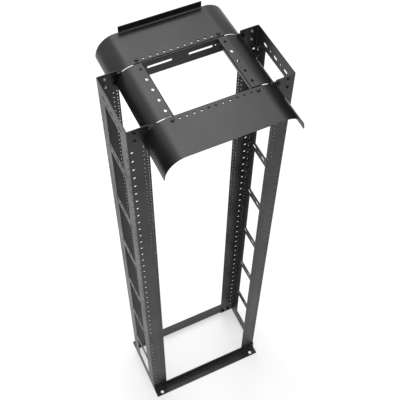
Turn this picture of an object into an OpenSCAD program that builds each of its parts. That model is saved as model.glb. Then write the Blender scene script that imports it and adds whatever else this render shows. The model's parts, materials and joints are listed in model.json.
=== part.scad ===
// Two post open frame equipment rack with a curved cable trough on top.
// Each side is a deep formed channel: a front and a rear angle post joined
// by slotted web bars with tall cable windows between them.
// X runs across the rack, Y from front to rear, Z up. The origin is the
// centre of the footprint, on the floor. All sizes are in millimetres.

/* [Frame] */
// Height of the side channels, floor to top edge
rack_h = 2133.6; // [1200:0.1:2700]
// Width over the two side channels
rack_w = 596; // [560:0.5:760]
// Depth of the side channels, front face to rear face
rack_d = 258; // [160:0.5:420]
// Clear width between the mounting flanges
opening_w = 450.85; // [440:0.05:600]
// Thickness of the channel, crossmember and trough sheet
sheet_t = 2.7; // [2:0.1:4]
// Outer bend radius of the formed sheet
bend_r = 5; // [3.5:0.5:10]

/* [Rail holes] */
// Height of one rack unit
unit_h = 44.45; // [40:0.01:60]
// Height of the bottom of the first rack unit
rail_z0 = 50; // [45:0.5:80]
// Least height left free above the top rack unit
rail_top = 70; // [65:1:120]
// Distance between the left and right tapped equipment holes
rail_pitch_x = 465.1; // [456:0.1:480]
// Offset of the upper and lower hole in a unit from its middle
rail_step = 15.875; // [12:0.005:17]
// Radius of a tapped equipment hole
rail_r = 2.75; // [2:0.05:3.5]
// Distance between the left and right accessory hole columns
accessory_pitch_x = 490.5; // [484:0.5:500]
// Radius of an accessory hole
accessory_r = 2.75; // [2:0.05:3.5]
// Radius of the clearance hole in every unit
clear_r = 4.75; // [3:0.05:6]
// Distance of the clearance holes from the channel's corner
clear_edge = 12.7; // [11:0.1:18]

/* [Side web] */
// Width of a cable window, front to rear
window_d = 133; // [100:1:200]
// Height of a web bar between two windows
bar_h = 48; // [36:1:90]
// Rack unit that the lowest web bar is centred on
bar_first_unit = 6; // [5:1:8]
// Rack units from the top web bar's unit up to the top one
bar_last_units = 4; // [3:1:6]
// Height of the closed web at the top
top_web_h = 69; // [60:1:110]
// Height of the closed web at the foot
foot_web_h = 82; // [60:1:120]
// Spacing of the slots in a row, front to rear
slot_pitch = 70; // [66:1:80]
// Length of a slot
slot_l = 25; // [14:0.5:30]
// Height of a slot
slot_h = 12; // [8:0.5:16]
// Radius of the round hole between two slots
row_hole_r = 4.75; // [3:0.05:6]
// Height of the top slot row above its web's lower edge
top_row_up = 24; // [16:0.5:34]

/* [Base angles] */
// Reach of a base angle beyond the channel's face
base_reach = 46; // [38:0.5:80]
// Height of a base angle's upright leg
base_h = 50; // [40:0.5:80]
// Thickness of a base angle
base_t = 4.8; // [4:0.1:8]
// Outer bend radius of a base angle
base_bend_r = 9; // [6:0.5:12]
// Radius of a floor anchor hole
anchor_r = 8.75; // [6:0.25:11]
// Distance of an anchor hole from the angle's end
anchor_end = 33; // [24:0.5:50]
// Distance of an anchor hole from the angle's outer edge
anchor_edge = 16; // [14:0.5:24]

/* [Top crossmembers] */
// Width of a crossmember and of the trough above it
cross_w = 490; // [484:0.5:500]
// Height of a crossmember
cross_h = 62.5; // [50:0.5:69]
// Reach of the top flange beyond the crossmember's plate
cross_flange_d = 33; // [26:0.5:45]
// Drop of the plate's top edge beside the flange
cross_relief = 9; // [7:0.5:14]
// Length of the long slot in a crossmember
cross_slot_l = 91; // [50:1:110]
// Height of the long slot
cross_slot_h = 11; // [7:0.5:16]
// Distance of a long slot's middle from the rack's middle
cross_slot_x = 75.5; // [58:0.5:80]
// Depth of the slot row below the rack's top
cross_slot_down = 26; // [18:0.5:40]
// Distance of the small end hole from the rack's middle
cross_hole_x = 131; // [128:0.5:160]
// Radius of the small end hole
cross_hole_r = 3.5; // [2:0.1:5]

/* [Cable trough] */
// Outer radius of the waterfall curves
fall_r = 79; // [50:0.5:100]
// Turn of the side troughs' waterfall, in degrees
side_turn = 65; // [50:1:90]
// Gap from the channel's face out to a tray's inner edge
tray_gap = 1.5; // [1:0.1:10]
// Reach of a tray's outer edge beyond the channel's face
tray_reach = 162; // [100:0.5:220]
// Height of the rear tray's upright flange, from its floor
stop_h = 25.4; // [15:0.1:60]
// Width of the rear tray's upright flange
stop_w = 311; // [200:1:330]
// Outer bend radius of the upright flange
stop_bend_r = 8; // [3.5:0.5:12]
// Distance of the trays' hole rows beyond the channel's face
tray_row_out = 14.8; // [10:0.1:22]
// Spacing of the trays' holes
tray_hole_pitch = 25; // [20:0.1:26]
// Holes in a tray's row, end holes included
tray_hole_n = 13; // [5:2:13]
// Radius of a tray hole
tray_hole_r = 4.5; // [3:0.1:6]
// Half the clear width between the side troughs
well_half_w = 136; // [130:0.5:142]
// Depth of the side trough's inner lip
lip_h = 16.7; // [10:0.1:30]
// Gap from the channel's face in to a side trough's end
side_gap = 4; // [3:0.1:10]
// Distance of the side trough's slots from its inner edge
strip_inset = 17; // [12:0.5:22]
// Spacing of the side trough's slots
strip_pitch = 49.3; // [40:0.1:55]
// Length of a side trough's slot, front to rear
strip_slot_l = 13; // [9:0.5:20]
// Width of a side trough's slot
strip_slot_w = 9; // [6:0.5:12]

/* [Hidden] */
$fn = 48;
post_w = (rack_w - opening_w) / 2;      // width of a mounting flange
leg_d = (rack_d - window_d) / 2;        // depth of a post's side leg
half_w = rack_w / 2;
half_d = rack_d / 2;
bar_n = 6;                              // web bars on a side
unit_n = floor((rack_h - rail_z0 - rail_top) / unit_h);
bar_units = (unit_n - bar_last_units - bar_first_unit) / (bar_n - 1);
top_row_z = rack_h - top_web_h + top_row_up;
cross_y = half_d - sheet_t;             // outer face of a crossmember's plate
flat_half_w = cross_w / 2 - fall_r;     // half width of the trough's flat floor
tray_inner = half_d + tray_gap;
tray_outer = half_d + tray_reach;
tray_row_y = half_d + tray_row_out;
side_half_l = half_d - side_gap;        // half length of a side trough
frame_rgb = [0.16, 0.165, 0.175];
trough_rgb = [0.2, 0.205, 0.215];

// Mirrors its children to the right side, to the rear, or to both.
module at_side(right = false, rear = false) {
    mirror([right ? 1 : 0, 0, 0]) mirror([0, rear ? 1 : 0, 0]) children();
}

// Formed angle section: legs a and b, thickness t, outer bend radius r.
module angle_section(a, b, t, r) {
    difference() {
        union() {
            square([a, t]);
            square([t, b]);
            square([r, r]);
        }
        difference() {
            square([r, r]);
            translate([r, r]) circle(r);
        }
        translate([r, r]) circle(r - t);
        translate([r, t]) square([a, r]);
        translate([t, r]) square([r, b]);
    }
}

// Round hole along Y, through a sheet that starts at y.
module hole_y(x, y, z, r, t) {
    translate([x, y - 1, z]) rotate([-90, 0, 0]) cylinder(r = r, h = t + 2);
}

// Round hole along X, through a sheet that starts at x.
module hole_x(x, y, z, r, t) {
    translate([x - 1, y, z]) rotate([0, 90, 0]) cylinder(r = r, h = t + 2);
}

// Slot along Y, through a sheet that starts at x.
module slot_x(x, y, z, l, h, t) {
    translate([x - 1, y - (l - h) / 2, z - h / 2]) cube([t + 2, l - h, h]);
    for (e = [-1, 1]) hole_x(x, y + e * (l - h) / 2, z, h / 2, t);
}

// Middle height of web bar i; every bar is centred on a rack unit.
function bar_z(i) = rail_z0 + (round(bar_first_unit + i * bar_units) - 0.5) * unit_h;

// One row across the left web: three slots with a round hole between each two.
module web_row(z) {
    for (i = [-1, 0, 1]) slot_x(-half_w, i * slot_pitch, z, slot_l, slot_h, sheet_t);
    for (i = [-1, 1]) hole_x(-half_w, i * slot_pitch / 2, z, row_hole_r, sheet_t);
}

// Every slot row of the left web.
module web_rows() {
    for (i = [0 : bar_n - 1]) web_row(bar_z(i));
    web_row(top_row_z);
}

// Left front post: flange with its rail holes, side leg with one hole a unit.
module post() {
    difference() {
        translate([-half_w, -half_d, 0]) linear_extrude(rack_h)
            angle_section(post_w, leg_d, sheet_t, bend_r);
        for (u = [0 : unit_n - 1]) {
            z = rail_z0 + (u + 0.5) * unit_h;
            for (s = [-1, 0, 1])
                hole_y(-rail_pitch_x / 2, -half_d, z + s * rail_step, rail_r, sheet_t);
            for (s = [-1, 1])
                hole_y(-accessory_pitch_x / 2, -half_d, z + s * unit_h / 4, accessory_r, sheet_t);
            hole_y(-half_w + clear_edge, -half_d, z, clear_r, sheet_t);
            hole_x(-half_w, -half_d + clear_edge, z, clear_r, sheet_t);
        }
        web_rows();
    }
}

// Part of the left web between the posts' legs, from z0 up by h.
module web_strip(z0, h) {
    difference() {
        translate([-half_w, -window_d / 2, z0]) cube([sheet_t, window_d, h]);
        web_rows();
    }
}

module web_bar(i) {
    web_strip(bar_z(i) - bar_h / 2, bar_h);
}

// Front base angle: upright leg on the posts' faces, foot on the floor.
module base_angle() {
    difference() {
        translate([half_w, -half_d, 0]) rotate([0, -90, 0]) mirror([0, 1, 0])
            linear_extrude(rack_w) angle_section(base_h, base_reach, base_t, base_bend_r);
        for (s = [-1, 1])
            translate([s * (half_w - anchor_end), -half_d - base_reach + anchor_edge, -1])
                cylinder(r = anchor_r, h = base_t + 2);
    }
}

// Front crossmember: slotted plate inside the flanges, flange under the tray.
module crossmember() {
    plate_h = cross_h - cross_relief;
    difference() {
        union() {
            translate([-cross_w / 2, -cross_y, rack_h - cross_h])
                cube([cross_w, sheet_t, plate_h]);
            translate([flat_half_w, -cross_y + sheet_t, rack_h])
                rotate([0, 90, 0]) mirror([0, 1, 0]) mirror([0, 0, 1])
                    linear_extrude(2 * flat_half_w)
                        angle_section(cross_h, cross_flange_d + sheet_t, sheet_t, bend_r);
        }
        for (s = [-1, 1]) {
            z = rack_h - cross_slot_down;
            e = (cross_slot_l - cross_slot_h) / 2;
            translate([s * cross_slot_x - e, -cross_y - 1, z - cross_slot_h / 2])
                cube([2 * e, sheet_t + 2, cross_slot_h]);
            for (k = [-1, 1])
                hole_y(s * cross_slot_x + k * e, -cross_y, z, cross_slot_h / 2, sheet_t);
            hole_y(s * cross_hole_x, -cross_y, z, cross_hole_r, sheet_t);
        }
        tray_holes();
    }
}

// Front row of holes, through the tray and the flange below it.
module tray_holes() {
    for (i = [0 : tray_hole_n - 1])
        translate([(i - (tray_hole_n - 1) / 2) * tray_hole_pitch, -tray_row_y,
                   rack_h - sheet_t - 1])
            cylinder(r = tray_hole_r, h = 2 * sheet_t + 2);
}

// Waterfall curve at the trough's left, seen along Y, turning through turn.
module fall_section(turn = 90) {
    far = 3 * fall_r;
    translate([-flat_half_w, rack_h + sheet_t - fall_r]) intersection() {
        difference() {
            circle(fall_r, $fn = 96);
            circle(fall_r - sheet_t, $fn = 96);
        }
        polygon([[0, 0], [0, far], [-far, far], [-far * sin(turn), far * cos(turn)]]);
    }
}

// Stands a section drawn in X and Z up, from y0 to y1.
module along_y(y0, y1) {
    translate([0, y1, 0]) rotate([90, 0, 0]) linear_extrude(y1 - y0) children();
}

// Front tray: flat floor with a waterfall at both ends.
module tray() {
    difference() {
        along_y(-tray_outer, -tray_inner) {
            fall_section();
            mirror([1, 0]) fall_section();
            translate([-flat_half_w, rack_h]) square([2 * flat_half_w, sheet_t]);
        }
        tray_holes();
    }
}

// Upright flange at the rear tray's outer edge, with its bend.
module tray_stop() {
    translate([-stop_w / 2, tray_outer, rack_h])
        rotate([90, 0, 90]) mirror([1, 0, 0]) linear_extrude(stop_w)
            angle_section(2 * stop_bend_r, stop_h + sheet_t, sheet_t, stop_bend_r);
}

module rear_tray() {
    at_side(rear = true) tray();
    tray_stop();
}

// Left side trough: waterfall, flat strip with slots, lip at the inner edge.
module side_trough() {
    difference() {
        along_y(-side_half_l, side_half_l) {
            fall_section(side_turn);
            translate([-flat_half_w, rack_h]) square([flat_half_w - well_half_w - bend_r, sheet_t]);
            translate([-well_half_w, rack_h + sheet_t]) rotate(180)
                angle_section(2 * bend_r, lip_h, sheet_t, bend_r);
        }
        for (i = [-2 : 2])
            translate([-well_half_w - strip_inset, i * strip_pitch, rack_h - 1]) {
                e = (strip_slot_l - strip_slot_w) / 2;
                translate([-strip_slot_w / 2, -e, 0]) cube([strip_slot_w, 2 * e, sheet_t + 2]);
                for (s = [-1, 1]) translate([0, s * e, 0])
                    cylinder(r = strip_slot_w / 2, h = sheet_t + 2);
            }
    }
}

module left_front_post() { color(frame_rgb) at_side() post(); }
module left_rear_post() { color(frame_rgb) at_side(rear = true) post(); }
module right_front_post() { color(frame_rgb) at_side(right = true) post(); }
module right_rear_post() { color(frame_rgb) at_side(right = true, rear = true) post(); }
module left_top_web() { color(frame_rgb) web_strip(rack_h - top_web_h, top_web_h); }
module right_top_web() {
    color(frame_rgb) at_side(right = true) web_strip(rack_h - top_web_h, top_web_h);
}
module left_foot_web() { color(frame_rgb) web_strip(0, foot_web_h); }
module right_foot_web() { color(frame_rgb) at_side(right = true) web_strip(0, foot_web_h); }
module left_web_bar(i) { color(frame_rgb) web_bar(i - 1); }
module right_web_bar(i) { color(frame_rgb) at_side(right = true) web_bar(i - 1); }
module front_base_angle() { color(frame_rgb) base_angle(); }
module rear_base_angle() { color(frame_rgb) at_side(rear = true) base_angle(); }
module front_top_crossmember() { color(frame_rgb) crossmember(); }
module rear_top_crossmember() { color(frame_rgb) at_side(rear = true) crossmember(); }
module front_trough_tray() { color(trough_rgb) tray(); }
module rear_trough_tray() { color(trough_rgb) rear_tray(); }
module left_side_trough() { color(trough_rgb) side_trough(); }
module right_side_trough() { color(trough_rgb) at_side(right = true) side_trough(); }

left_front_post();
left_rear_post();
right_front_post();
right_rear_post();
left_top_web();
right_top_web();
left_foot_web();
right_foot_web();
left_web_bar(1);  // left_web_bar_1
left_web_bar(2);  // left_web_bar_2
left_web_bar(3);  // left_web_bar_3
left_web_bar(4);  // left_web_bar_4
left_web_bar(5);  // left_web_bar_5
left_web_bar(6);  // left_web_bar_6
right_web_bar(1);  // right_web_bar_1
right_web_bar(2);  // right_web_bar_2
right_web_bar(3);  // right_web_bar_3
right_web_bar(4);  // right_web_bar_4
right_web_bar(5);  // right_web_bar_5
right_web_bar(6);  // right_web_bar_6
front_base_angle();
rear_base_angle();
front_top_crossmember();
rear_top_crossmember();
front_trough_tray();
rear_trough_tray();
left_side_trough();
right_side_trough();
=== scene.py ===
"""Finish, fasteners and studio for a two post open frame equipment rack.

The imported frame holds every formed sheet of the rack. This script gives each
sheet its powder coat, adds the bolts and nuts that hold the sheets together,
and sets up a plain studio. Sizes are in millimetres until they reach a mesh.
"""

import json
import logging
import math
from dataclasses import dataclass, field
from enum import Enum

import bmesh
import bpy
from mathutils import Matrix, Vector

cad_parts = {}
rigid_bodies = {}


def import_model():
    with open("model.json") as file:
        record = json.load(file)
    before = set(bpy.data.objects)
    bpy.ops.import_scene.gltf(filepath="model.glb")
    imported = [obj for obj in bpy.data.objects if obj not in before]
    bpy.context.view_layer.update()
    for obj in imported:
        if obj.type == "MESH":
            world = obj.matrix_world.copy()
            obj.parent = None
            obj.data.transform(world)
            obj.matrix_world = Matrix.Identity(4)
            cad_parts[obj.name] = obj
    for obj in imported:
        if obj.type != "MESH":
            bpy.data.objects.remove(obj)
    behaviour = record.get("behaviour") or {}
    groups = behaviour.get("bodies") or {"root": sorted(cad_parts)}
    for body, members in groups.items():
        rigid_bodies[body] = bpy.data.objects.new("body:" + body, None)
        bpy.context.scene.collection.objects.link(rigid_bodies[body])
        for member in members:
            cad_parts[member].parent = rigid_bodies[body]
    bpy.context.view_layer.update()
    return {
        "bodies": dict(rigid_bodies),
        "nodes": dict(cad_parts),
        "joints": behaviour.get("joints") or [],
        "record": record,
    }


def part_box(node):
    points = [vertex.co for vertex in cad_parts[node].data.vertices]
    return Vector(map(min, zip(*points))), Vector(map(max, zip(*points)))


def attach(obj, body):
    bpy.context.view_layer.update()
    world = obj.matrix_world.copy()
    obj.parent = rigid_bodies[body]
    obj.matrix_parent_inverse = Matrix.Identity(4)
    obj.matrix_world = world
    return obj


LOG = logging.getLogger("rack")
MM = 0.001
MIX_A, MIX_B, MIX_RESULT = 6, 7, 2  # colour sockets of Blender's Mix node
NOISE_LOW, NOISE_HIGH = 0.3, 0.7  # the range that a noise keeps to, nearly always
CORNER_TURN = math.radians(35)  # edges that turn more get a broken edge
SMOOTH_TURN = math.radians(32)  # edges that turn less are shaded smooth


class Slot(Enum):
    """Material slots that the record names."""

    FRAME = "frame"
    TROUGH = "trough"


class Side(Enum):
    """The two sides of the rack, with the sign of X that each lies on."""

    LEFT = -1
    RIGHT = 1


class End(Enum):
    """The front and the rear of the rack, with the sign of Y of each."""

    FRONT = -1
    REAR = 1


def linear(shade: str) -> tuple[float, float, float, float]:
    """Turns an sRGB hex colour to the linear values that a shader takes.

    Args:
        shade: Colour as six hex digits.

    Returns:
        Linear red, green, blue and an alpha of 1.
    """
    parts = [int(shade[i : i + 2], 16) / 255 for i in (0, 2, 4)]
    toned = [c / 12.92 if c <= 0.04045 else ((c + 0.055) / 1.055) ** 2.4 for c in parts]
    return (toned[0], toned[1], toned[2], 1.0)


def add_node(
    tree: bpy.types.NodeTree, kind: str, inputs: dict | None = None, **settings: object
) -> bpy.types.Node:
    """Adds one shader node with its settings and links.

    Args:
        tree: Node tree that gets the node.
        kind: Blender's name of the node type.
        inputs: Value or output socket for each named or numbered input.
        **settings: Properties of the node itself.

    Returns:
        The new node.
    """
    node = tree.nodes.new(kind)
    for name, value in settings.items():
        setattr(node, name, value)
    for key, value in (inputs or {}).items():
        if isinstance(value, bpy.types.NodeSocket):
            tree.links.new(value, node.inputs[key])
        else:
            node.inputs[key].default_value = value
    return node


def per_metre(grain_mm: float) -> float:
    """Gives the noise scale whose cells are grain_mm wide."""
    return 1.0 / (grain_mm * MM)


def new_material(name: str) -> tuple[bpy.types.Material, bpy.types.NodeTree]:
    """Starts a material with an empty node tree.

    Args:
        name: Name of the material.

    Returns:
        The material and its node tree.
    """
    made = bpy.data.materials.new(name)
    made.use_nodes = True
    made.node_tree.nodes.clear()
    return made, made.node_tree


@dataclass(frozen=True)
class PowderCoat:
    """Black powder coat baked on sheet steel: semi gloss with an orange peel.

    The powder flows out unevenly, so the gloss and the tone drift a little
    from place to place. The sheets' edges are painted paler, a painted
    highlight where their rounding would catch the lamp.
    """

    name: str
    shade: str
    # shade of the pale powder grains, and of the painted highlight along the edges
    highlight_and_grain_shade: str
    roughness: float
    roughness_drift: float = 0.05
    peel_mm: float = 3.2  # the real peel is 1 to 2 mm; drawn coarser so it shows
    peel_depth_mm: float = 0.02
    powder_mm: float = 0.7  # unmelted grains in the film
    tone_mm: float = 160.0  # drift of film thickness along a panel
    edge_mm: float = 0.5
    edge_flat: float = 0.985  # cosine where a face starts to count as an edge
    edge_turned: float = 0.7  # cosine where it counts as one in full
    peel_strength: float = 0.6
    thin_gain: float = 1.28  # tone of a thin film, and of a thick one
    thick_gain: float = 0.8
    grain_low: float = 0.6  # powder noise where a grain starts to show
    grain_high: float = 0.75
    grain_share: float = 0.16
    ior: float = 1.45

    def material(self) -> bpy.types.Material:
        """Builds the coat's material."""
        made, tree = new_material(self.name)
        place = add_node(tree, "ShaderNodeTexCoord").outputs["Object"]
        tone = self._noise(tree, place, self.tone_mm, detail=3.0)
        powder = self._noise(tree, place, self.powder_mm, detail=1.0)
        peel = self._noise(tree, place, self.peel_mm, detail=2.0)
        rounded = add_node(
            tree, "ShaderNodeBevel", {"Radius": self.edge_mm * MM}, samples=4
        ).outputs[0]
        flat = add_node(tree, "ShaderNodeNewGeometry").outputs["Normal"]
        turn = add_node(
            tree, "ShaderNodeVectorMath", {0: rounded, 1: flat}, operation="DOT_PRODUCT"
        ).outputs["Value"]
        edge = add_node(
            tree, "ShaderNodeMapRange",
            {
                "Value": turn, "From Min": self.edge_turned, "From Max": self.edge_flat,
                "To Min": 1.0, "To Max": 0.0,
            },
        ).outputs[0]
        body = self._drift(tree, tone, powder)
        # the edges are mixed toward the paler shade: a painted highlight
        colour = add_node(
            tree, "ShaderNodeMix",
            {"Factor": edge, MIX_A: body, MIX_B: linear(self.highlight_and_grain_shade)},
            data_type="RGBA",
        ).outputs[MIX_RESULT]
        gloss = add_node(
            tree, "ShaderNodeMapRange",
            {
                "Value": tone, "From Min": NOISE_LOW, "From Max": NOISE_HIGH,
                "To Min": self.roughness - self.roughness_drift,
                "To Max": self.roughness + self.roughness_drift,
            },
        ).outputs[0]
        bump = add_node(
            tree, "ShaderNodeBump",
            {
                "Height": peel, "Distance": self.peel_depth_mm * MM,
                "Strength": self.peel_strength, "Normal": rounded,
            },
        ).outputs[0]
        shader = add_node(
            tree, "ShaderNodeBsdfPrincipled",
            {"Base Color": colour, "Roughness": gloss, "Normal": bump, "IOR": self.ior},
        )
        add_node(tree, "ShaderNodeOutputMaterial", {"Surface": shader.outputs[0]})
        return made

    def _noise(
        self,
        tree: bpy.types.NodeTree,
        place: bpy.types.NodeSocket,
        grain_mm: float,
        detail: float,
    ) -> bpy.types.NodeSocket:
        """Adds a noise with grains of a real size.

        Args:
            tree: Node tree that gets the noise.
            place: Socket with the position on the object.
            grain_mm: Width of one grain.
            detail: Octaves of finer noise on top.

        Returns:
            The noise's value socket.
        """
        made = add_node(
            tree, "ShaderNodeTexNoise",
            {"Vector": place, "Scale": per_metre(grain_mm), "Detail": detail},
        )
        return made.outputs["Fac"]

    def _drift(
        self,
        tree: bpy.types.NodeTree,
        tone: bpy.types.NodeSocket,
        powder: bpy.types.NodeSocket,
    ) -> bpy.types.NodeSocket:
        """Adds the coat's colour with its drift of tone and its grains.

        Args:
            tree: Node tree that gets the colour.
            tone: Broad noise.
            powder: Fine noise.

        Returns:
            The colour socket.
        """
        base = linear(self.shade)
        thin = tuple(c * self.thin_gain for c in base[:3]) + (1.0,)
        thick = tuple(c * self.thick_gain for c in base[:3]) + (1.0,)
        broad = add_node(
            tree, "ShaderNodeMix", {"Factor": tone, MIX_A: thick, MIX_B: thin},
            data_type="RGBA",
        ).outputs[MIX_RESULT]
        fleck = add_node(
            tree, "ShaderNodeMapRange",
            {
                "Value": powder,
                "From Min": self.grain_low, "From Max": self.grain_high,
                "To Min": 0.0, "To Max": self.grain_share,
            },
        ).outputs[0]
        return add_node(
            tree, "ShaderNodeMix",
            {"Factor": fleck, MIX_A: broad, MIX_B: linear(self.highlight_and_grain_shade)},
            data_type="RGBA",
        ).outputs[MIX_RESULT]


@dataclass(frozen=True)
class ZincPlate:
    """Zinc plate on a forged fastener: pale by default, and a little cloudy."""

    name: str
    shade: str = "c9ccd0"
    cloud_shade: str = "9ea3a8"
    roughness: float = 0.3
    clear_drift: float = 0.06
    cloudy_drift: float = 0.1
    cloud_mm: float = 3.0

    def material(self) -> bpy.types.Material:
        """Builds the plate's material."""
        made, tree = new_material(self.name)
        place = add_node(tree, "ShaderNodeTexCoord").outputs["Object"]
        cloud = add_node(
            tree, "ShaderNodeTexNoise",
            {"Vector": place, "Scale": per_metre(self.cloud_mm), "Detail": 3.0},
        ).outputs["Fac"]
        colour = add_node(
            tree, "ShaderNodeMix",
            {
                "Factor": cloud, MIX_A: linear(self.shade),
                MIX_B: linear(self.cloud_shade),
            },
            data_type="RGBA",
        ).outputs[MIX_RESULT]
        gloss = add_node(
            tree, "ShaderNodeMapRange",
            {
                "Value": cloud, "To Min": self.roughness - self.clear_drift,
                "To Max": self.roughness + self.cloudy_drift,
            },
        ).outputs[0]
        shader = add_node(
            tree, "ShaderNodeBsdfPrincipled",
            {"Base Color": colour, "Roughness": gloss, "Metallic": 1.0},
        )
        add_node(tree, "ShaderNodeOutputMaterial", {"Surface": shader.outputs[0]})
        return made


@dataclass(frozen=True)
class StudioPaper:
    """Matt white paper sweep, shown white to the camera and in reflections."""

    name: str = "matt white paper sweep"
    shade: str = "e6e6e6"
    lift: float = 0.54
    fibre_mm: float = 4.0
    fibre_depth_mm: float = 0.1
    fibre_strength: float = 0.3

    def material(self) -> bpy.types.Material:
        """Builds the paper's material."""
        made, tree = new_material(self.name)
        place = add_node(tree, "ShaderNodeTexCoord").outputs["Object"]
        fibre = add_node(
            tree, "ShaderNodeTexNoise",
            {"Vector": place, "Scale": per_metre(self.fibre_mm), "Detail": 2.0},
        ).outputs["Fac"]
        bump = add_node(
            tree, "ShaderNodeBump",
            {
                "Height": fibre, "Distance": self.fibre_depth_mm * MM,
                "Strength": self.fibre_strength,
            },
        ).outputs[0]
        paper = add_node(
            tree, "ShaderNodeBsdfDiffuse",
            {"Color": linear(self.shade), "Normal": bump},
        ).outputs[0]
        glow = add_node(
            tree, "ShaderNodeEmission",
            {"Color": (1.0, 1.0, 1.0, 1.0), "Strength": seen_directly(tree, self.lift)},
        ).outputs[0]
        both = add_node(tree, "ShaderNodeAddShader", {0: paper, 1: glow}).outputs[0]
        add_node(tree, "ShaderNodeOutputMaterial", {"Surface": both})
        return made


def seen_directly(
    tree: bpy.types.NodeTree, level: float, base: float = 0.0
) -> bpy.types.NodeSocket:
    """Gives a strength for rays that show a background, and a base for others.

    Args:
        tree: Node tree that gets the nodes.
        level: Strength added for camera, glossy and transmission rays.
        base: Strength for every ray.

    Returns:
        The strength socket.
    """
    path = add_node(tree, "ShaderNodeLightPath")
    mirror = add_node(
        tree, "ShaderNodeMath",
        {0: path.outputs["Is Camera Ray"], 1: path.outputs["Is Glossy Ray"]},
        operation="MAXIMUM",
    ).outputs[0]
    shown = add_node(
        tree, "ShaderNodeMath", {0: mirror, 1: path.outputs["Is Transmission Ray"]},
        operation="MAXIMUM",
    ).outputs[0]
    return add_node(
        tree, "ShaderNodeMath", {0: shown, 1: level, 2: base}, operation="MULTIPLY_ADD"
    ).outputs[0]


@dataclass
class Piece:
    """A mesh of the object under construction, in millimetres."""

    name: str
    slot: Slot
    mesh: bmesh.types.BMesh = field(default_factory=bmesh.new)

    def prism(
        self, place: Matrix, radius: float, height: float, sides: int, edge: float
    ) -> None:
        """Adds a prism or a disc that stands on a face, with its edges broken.

        Args:
            place: Position of the seat, with Z pointing away from it.
            radius: Radius over the corners.
            height: Height above the seat.
            sides: Number of sides.
            edge: Width of the broken edge.
        """
        made = bmesh.ops.create_cone(
            self.mesh, cap_ends=True, cap_tris=False, segments=sides,
            radius1=radius, radius2=radius, depth=height,
            matrix=place @ Matrix.Translation((0, 0, height / 2)),
        )
        corners = {e for v in made["verts"] for e in v.link_edges}
        corners = [e for e in corners if e.calc_face_angle(0) > CORNER_TURN]
        bmesh.ops.bevel(
            self.mesh, geom=corners, offset=edge, offset_type="OFFSET", segments=2,
            profile=0.5, affect="EDGES", material=-1,
        )

    def finish(self, material: bpy.types.Material) -> bpy.types.Object:
        """Turns the mesh to an object that rides on the rack.

        Args:
            material: Finish of the whole piece.

        Returns:
            The finished object.
        """
        scale = Matrix.Scale(MM, 4)
        bmesh.ops.transform(self.mesh, matrix=scale, verts=self.mesh.verts)
        bmesh.ops.recalc_face_normals(self.mesh, faces=self.mesh.faces)
        for edge in self.mesh.edges:
            edge.smooth = edge.calc_face_angle(0) < SMOOTH_TURN
        for face in self.mesh.faces:
            face.smooth = True
        data = bpy.data.meshes.new(self.name)
        self.mesh.to_mesh(data)
        self.mesh.free()
        data.materials.append(material)
        made = bpy.data.objects.new(self.name, data)
        bpy.context.scene.collection.objects.link(made)
        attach(made, "root")
        LOG.info("piece %s: %d faces", made.name, len(data.polygons))
        return made


def seat(point: Vector, away: Vector) -> Matrix:
    """Gives the position of a fastener on a face.

    Args:
        point: Where its axis meets the face, in millimetres.
        away: Direction out of the face.

    Returns:
        A matrix whose Z axis points out of the face.
    """
    return Matrix.Translation(point) @ away.to_track_quat("Z", "Y").to_matrix().to_4x4()


@dataclass(frozen=True)
class HexBolt:
    """A hex bolt through two sheets, with a washer and a nut behind them."""

    thread_r: float = 4.0
    corner_r: float = 7.4
    head_h: float = 5.3
    nut_h: float = 6.5
    washer_r: float = 8.8
    washer_t: float = 1.6
    stud_out: float = 3.0
    hex_edge: float = 0.6
    washer_sides: int = 24
    washer_edge: float = 0.3
    stud_sides: int = 16
    stud_edge: float = 0.5

    def head(self, piece: Piece, point: Vector, away: Vector) -> None:
        """Adds the head and its washer.

        Args:
            piece: Piece that gets them.
            point: Seat of the washer.
            away: Direction out of the sheet.
        """
        top = self._washer(piece, point, away)
        piece.prism(seat(top, away), self.corner_r, self.head_h, 6, self.hex_edge)

    def nut(self, piece: Piece, point: Vector, away: Vector) -> None:
        """Adds the nut, its washer and the end of the thread.

        Args:
            piece: Piece that gets them.
            point: Seat of the washer.
            away: Direction out of the sheet.
        """
        top = self._washer(piece, point, away)
        piece.prism(seat(top, away), self.corner_r, self.nut_h, 6, self.hex_edge)
        end = seat(top + away * self.nut_h, away)
        piece.prism(end, self.thread_r, self.stud_out, self.stud_sides, self.stud_edge)

    def _washer(self, piece: Piece, point: Vector, away: Vector) -> Vector:
        """Adds a washer.

        Args:
            piece: Piece that gets it.
            point: Seat of the washer.
            away: Direction out of the sheet.

        Returns:
            The point on top of the washer.
        """
        piece.prism(
            seat(point, away), self.washer_r, self.washer_t,
            self.washer_sides, self.washer_edge,
        )
        return point + away * self.washer_t


@dataclass
class BoltedJoint:
    """A set of like bolts: where they are, and which way their heads face."""

    name: str
    slot: Slot
    bolt: HexBolt
    heads: list[tuple[Vector, Vector]] = field(default_factory=list)
    nuts: list[tuple[Vector, Vector]] = field(default_factory=list)

    def add(self, point: Vector, away: Vector, grip: float) -> None:
        """Adds one bolt.

        Args:
            point: Where the head seats.
            away: Direction that the head faces.
            grip: Thickness of the sheets that it clamps.
        """
        self.heads.append((point, away))
        self.nuts.append((point - away * grip, -away))

    def build(self, head: bpy.types.Material, nut: bpy.types.Material) -> None:
        """Builds the heads as one piece and the nuts as another.

        Args:
            head: Finish of the heads and their washers.
            nut: Finish of the nuts and their washers.
        """
        fronts = Piece(f"{self.name}_heads", self.slot)
        for point, away in self.heads:
            self.bolt.head(fronts, point, away)
        fronts.finish(head)
        backs = Piece(f"{self.name}_nuts", self.slot)
        for point, away in self.nuts:
            self.bolt.nut(backs, point, away)
        backs.finish(nut)


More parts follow.
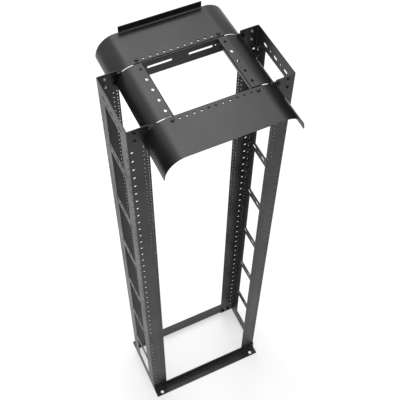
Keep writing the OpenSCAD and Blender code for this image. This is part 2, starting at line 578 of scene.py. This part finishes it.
@dataclass
class Sheets:
    """Formed sheets of the frame that share one finish."""

    nodes: tuple[str, ...]
    coat: PowderCoat

    def dress(self, frame: dict) -> bpy.types.Material:
        """Gives the sheets their coat.


        Returns:
            The coat's material.
        """
        made = self.coat.material()
        for name in self.nodes:
            data = frame["nodes"][name].data
            data.materials.clear()
            data.materials.append(made)
        LOG.info("coat %s on %d sheets", self.coat.name, len(self.nodes))
        return made


def inner_corner(node: str) -> tuple[Vector, Vector]:
    """Gives a node's lowest and highest corner in millimetres."""
    low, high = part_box(node)
    return low / MM, high / MM


@dataclass
class SideChannels:
    """The two formed side channels: posts, closed webs and web bars."""

    coat: PowderCoat
    bar_n: int = 6
    sheet_t: float = 2.7
    bolt_in: float = 26.0
    bolt_down: tuple[float, ...] = (17.0, 53.0)
    bolt: HexBolt = HexBolt(thread_r=2.5, corner_r=4.8, head_h=3.4, nut_h=4.0,
                            washer_r=5.6, washer_t=1.0, stud_out=2.0)

    def nodes(self) -> tuple[str, ...]:
        """Lists the channels' nodes."""
        names = []
        for side in ("left", "right"):
            names += [f"{side}_front_post", f"{side}_rear_post"]
            names += [f"{side}_top_web", f"{side}_foot_web"]
            names += [f"{side}_web_bar_{i + 1}" for i in range(self.bar_n)]
        return tuple(names)

    def build(self, frame: dict, nut: bpy.types.Material) -> bpy.types.Material:
        """Coats the channels and adds the small bolts at the flanges' tops.

        Args:
            nut: Finish of the nuts.

        Returns:
            The coat's material.
        """
        made = Sheets(self.nodes(), self.coat).dress(frame)
        joint = BoltedJoint("flange_top_bolts", Slot.FRAME, self.bolt)
        for side in Side:
            for end in End:
                node = f"{side.name.lower()}_{end.name.lower()}_post"
                low, high = inner_corner(node)
                outer = low.x if side is Side.LEFT else high.x
                face = low.y if end is End.FRONT else high.y
                x = outer - side.value * self.bolt_in
                for down in self.bolt_down:
                    point = Vector((x, face, high.z - down))
                    joint.add(point, Vector((0, end.value, 0)), self.sheet_t)
        joint.build(made, nut)
        return made


@dataclass
class BaseAngles:
    """The two angles that carry the channels and take the floor anchors."""

    coat: PowderCoat
    angle_t: float = 4.8
    sheet_t: float = 2.7
    bolt_in: tuple[float, ...] = (28.0, 60.0)
    bolt_up: float = 29.0
    bolt: HexBolt = HexBolt()

    def build(self, frame: dict, nut: bpy.types.Material) -> None:
        """Coats the angles and bolts them to the posts' feet.

        Args:
            nut: Finish of the nuts.
        """
        nodes = tuple(f"{end.name.lower()}_base_angle" for end in End)
        made = Sheets(nodes, self.coat).dress(frame)
        joint = BoltedJoint("base_angle_bolts", Slot.FRAME, self.bolt)
        grip = self.angle_t + self.sheet_t
        for end, node in zip(End, nodes):
            low, high = inner_corner(node)
            inner = high.y if end is End.FRONT else low.y
            face = inner + end.value * self.angle_t
            for side in Side:
                for bolt_in in self.bolt_in:
                    x = side.value * (high.x - bolt_in)
                    point = Vector((x, face, self.bolt_up))
                    joint.add(point, Vector((0, end.value, 0)), grip)
        joint.build(made, nut)


@dataclass
class TopCrossmembers:
    """The slotted plates between the channels, under the trough."""

    coat: PowderCoat
    sheet_t: float = 2.7
    bolt_in: float = 9.0
    bolt_up: tuple[float, ...] = (13.0, 41.0)
    bolt: HexBolt = HexBolt(thread_r=3.0, corner_r=5.8, head_h=4.0, nut_h=5.0,
                            washer_r=6.6, washer_t=1.2, stud_out=2.5)

    def build(self, frame: dict, nut: bpy.types.Material) -> None:
        """Coats the crossmembers and bolts their ends to the flanges.

        Args:
            nut: Finish of the nuts.
        """
        nodes = tuple(f"{end.name.lower()}_top_crossmember" for end in End)
        made = Sheets(nodes, self.coat).dress(frame)
        joint = BoltedJoint("crossmember_bolts", Slot.FRAME, self.bolt)
        for end, node in zip(End, nodes):
            low, high = inner_corner(node)
            post = inner_corner(f"left_{end.name.lower()}_post")
            face = post[0].y if end is End.FRONT else post[1].y
            for side in Side:
                for bolt_up in self.bolt_up:
                    x = side.value * (high.x - self.bolt_in)
                    point = Vector((x, face, low.z + bolt_up))
                    joint.add(point, Vector((0, end.value, 0)), 2 * self.sheet_t)
        joint.build(made, nut)


@dataclass
class CableTrough:
    """The trays and side troughs, with the bolts in the trays' end holes."""

    coat: PowderCoat
    sheet_t: float = 2.7
    row_in: float = 13.3
    row_half: float = 150.0
    bolt: HexBolt = HexBolt(thread_r=3.6, corner_r=6.6, head_h=4.2, nut_h=5.5,
                            washer_r=7.6, washer_t=1.2, stud_out=2.5)

    def build(self, frame: dict, nut: bpy.types.Material) -> None:
        """Coats the trough and bolts the trays to the crossmembers.

        Args:
            nut: Finish of the nuts.
        """
        nodes = ("front_trough_tray", "rear_trough_tray",
                 "left_side_trough", "right_side_trough")
        made = Sheets(nodes, self.coat).dress(frame)
        joint = BoltedJoint("tray_bolts", Slot.TROUGH, self.bolt)
        low, high = inner_corner("front_trough_tray")
        for end in End:
            for side in Side:
                y = end.value * (self.row_in - high.y)
                point = Vector((side.value * self.row_half, y, high.z))
                joint.add(point, Vector((0, 0, 1)), 2 * self.sheet_t)
        joint.build(made, nut)


@dataclass(frozen=True)
class DarkCard:
    """Black felt on a studio card: dull and very dark, with a short nap."""

    name: str = "black felt card"
    shade: str = "0c0c0c"

    def material(self) -> bpy.types.Material:
        """Builds the felt's material."""
        made, tree = new_material(self.name)
        felt = add_node(
            tree, "ShaderNodeBsdfDiffuse", {"Color": linear(self.shade)}
        ).outputs[0]
        add_node(tree, "ShaderNodeOutputMaterial", {"Surface": felt})
        return made


@dataclass
class Studio:
    """Plain studio: white paper, a soft lamp overhead, a pale world, dark cards.

    The cards stand left and right. Only reflections see them: they keep the
    curved sheets from washing out, as black cards do in a product studio.
    """

    paper: StudioPaper
    card: DarkCard
    floor_half: float = 30.0
    lamp_width: float = 4.0
    lamp_depth: float = 6.5
    lamp_radiance: float = 3.2
    lamp_place: tuple[float, float, float] = (0.5, 2.3, 7.0)
    card_out: float = 2.6
    card_half: float = 2.2
    card_up: float = 2.9
    world_level: float = 0.3
    world_shown: float = 0.7
    eye: tuple[float, float, float] = (-740.1, -1545.4, 3874.5)
    heading: float = 26.203
    pitch: float = 54.944
    roll: float = 0.895
    lens: float = 67.05
    sensor: float = 36.0
    sight: float = 100.0

    def build(self) -> None:
        """Sets up the floor, the lamp, the world and the camera."""
        self._floor()
        self._cards()
        self._lamp()
        self._world()
        self._camera()

    def _floor(self) -> None:
        """Lays the paper on the floor."""
        mesh = bmesh.new()
        bmesh.ops.create_grid(mesh, x_segments=2, y_segments=2, size=self.floor_half)
        data = bpy.data.meshes.new("studio_floor")
        mesh.to_mesh(data)
        mesh.free()
        data.materials.append(self.paper.material())
        floor = bpy.data.objects.new("studio_floor", data)
        bpy.context.scene.collection.objects.link(floor)

    def _cards(self) -> None:
        """Stands the dark cards left and right of the rack."""
        felt = self.card.material()
        unseen = ("camera", "diffuse", "transmission", "shadow", "volume_scatter")
        for name, turn in (("left", 90), ("right", -90)):
            mesh = bmesh.new()
            bmesh.ops.create_grid(mesh, x_segments=1, y_segments=1, size=self.card_half)
            place = (
                Matrix.Rotation(math.radians(turn), 4, "Z")
                @ Matrix.Translation((0, self.card_out, self.card_up))
                @ Matrix.Rotation(math.radians(90), 4, "X")
            )
            bmesh.ops.transform(mesh, matrix=place, verts=mesh.verts)
            data = bpy.data.meshes.new(f"studio_card_{name}")
            mesh.to_mesh(data)
            mesh.free()
            data.materials.append(felt)
            card = bpy.data.objects.new(f"studio_card_{name}", data)
            for ray in unseen:
                setattr(card, f"visible_{ray}", False)
            bpy.context.scene.collection.objects.link(card)

    def _lamp(self) -> None:
        """Hangs the soft lamp overhead."""
        light = bpy.data.lights.new("overhead_softbox", "AREA")
        light.shape = "RECTANGLE"
        light.size = self.lamp_width
        light.size_y = self.lamp_depth
        light.energy = self.lamp_radiance * math.pi * self.lamp_width * self.lamp_depth
        lamp = bpy.data.objects.new("overhead_softbox", light)
        lamp.location = self.lamp_place
        bpy.context.scene.collection.objects.link(lamp)

    def _world(self) -> None:
        """Makes the world pale, and white where it is seen."""
        world = bpy.data.worlds.new("studio")
        world.use_nodes = True
        tree = world.node_tree
        tree.nodes.clear()
        level = seen_directly(tree, self.world_shown, self.world_level)
        glow = add_node(
            tree, "ShaderNodeBackground",
            {"Color": (1.0, 1.0, 1.0, 1.0), "Strength": level},
        ).outputs[0]
        add_node(tree, "ShaderNodeOutputWorld", {"Surface": glow})
        bpy.context.scene.world = world

    def _camera(self) -> None:
        """Places the camera, looking down on the rack from its front left."""
        az, el, roll = (math.radians(a) for a in (self.heading, self.pitch, self.roll))
        ahead = Vector(
            (math.sin(az) * math.cos(el), math.cos(az) * math.cos(el), -math.sin(el))
        )
        level = Vector((math.cos(az), -math.sin(az), 0.0))
        above = level.cross(ahead)
        right = math.cos(roll) * level + math.sin(roll) * above
        up = -math.sin(roll) * level + math.cos(roll) * above
        data = bpy.data.cameras.new("camera")
        data.lens = self.lens
        data.sensor_width = self.sensor
        data.clip_end = self.sight
        camera = bpy.data.objects.new("camera", data)
        turn = Matrix((right, up, -ahead)).transposed().to_4x4()
        camera.matrix_world = Matrix.Translation(Vector(self.eye) * MM) @ turn
        bpy.context.scene.collection.objects.link(camera)
        bpy.context.scene.camera = camera


def main() -> None:
    """Builds the dressed rack and its studio, in order."""
    logging.basicConfig(level=logging.INFO, format="%(name)s: %(message)s")
    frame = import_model()
    bpy.context.scene.view_settings.view_transform = "Standard"

    frame_coat = PowderCoat("semi gloss black powder coat", "1c1c1d", "343435", 0.4)
    base_coat = PowderCoat("satin black powder coat", "1b1b1c", "363637", 0.44)
    trough_coat = PowderCoat(
        "semi gloss charcoal powder coat", "1d1d1e", "39393b", 0.31
    )
    zinc = ZincPlate("bright zinc plate").material()
    black_zinc = ZincPlate("black zinc plate", "2c2c2f", "1c1c1e").material()

    SideChannels(frame_coat).build(frame, zinc)
    BaseAngles(base_coat).build(frame, black_zinc)
    TopCrossmembers(frame_coat).build(frame, black_zinc)
    CableTrough(trough_coat).build(frame, black_zinc)
    Studio(StudioPaper(), DarkCard()).build()


if __name__ == "__main__":
    main()
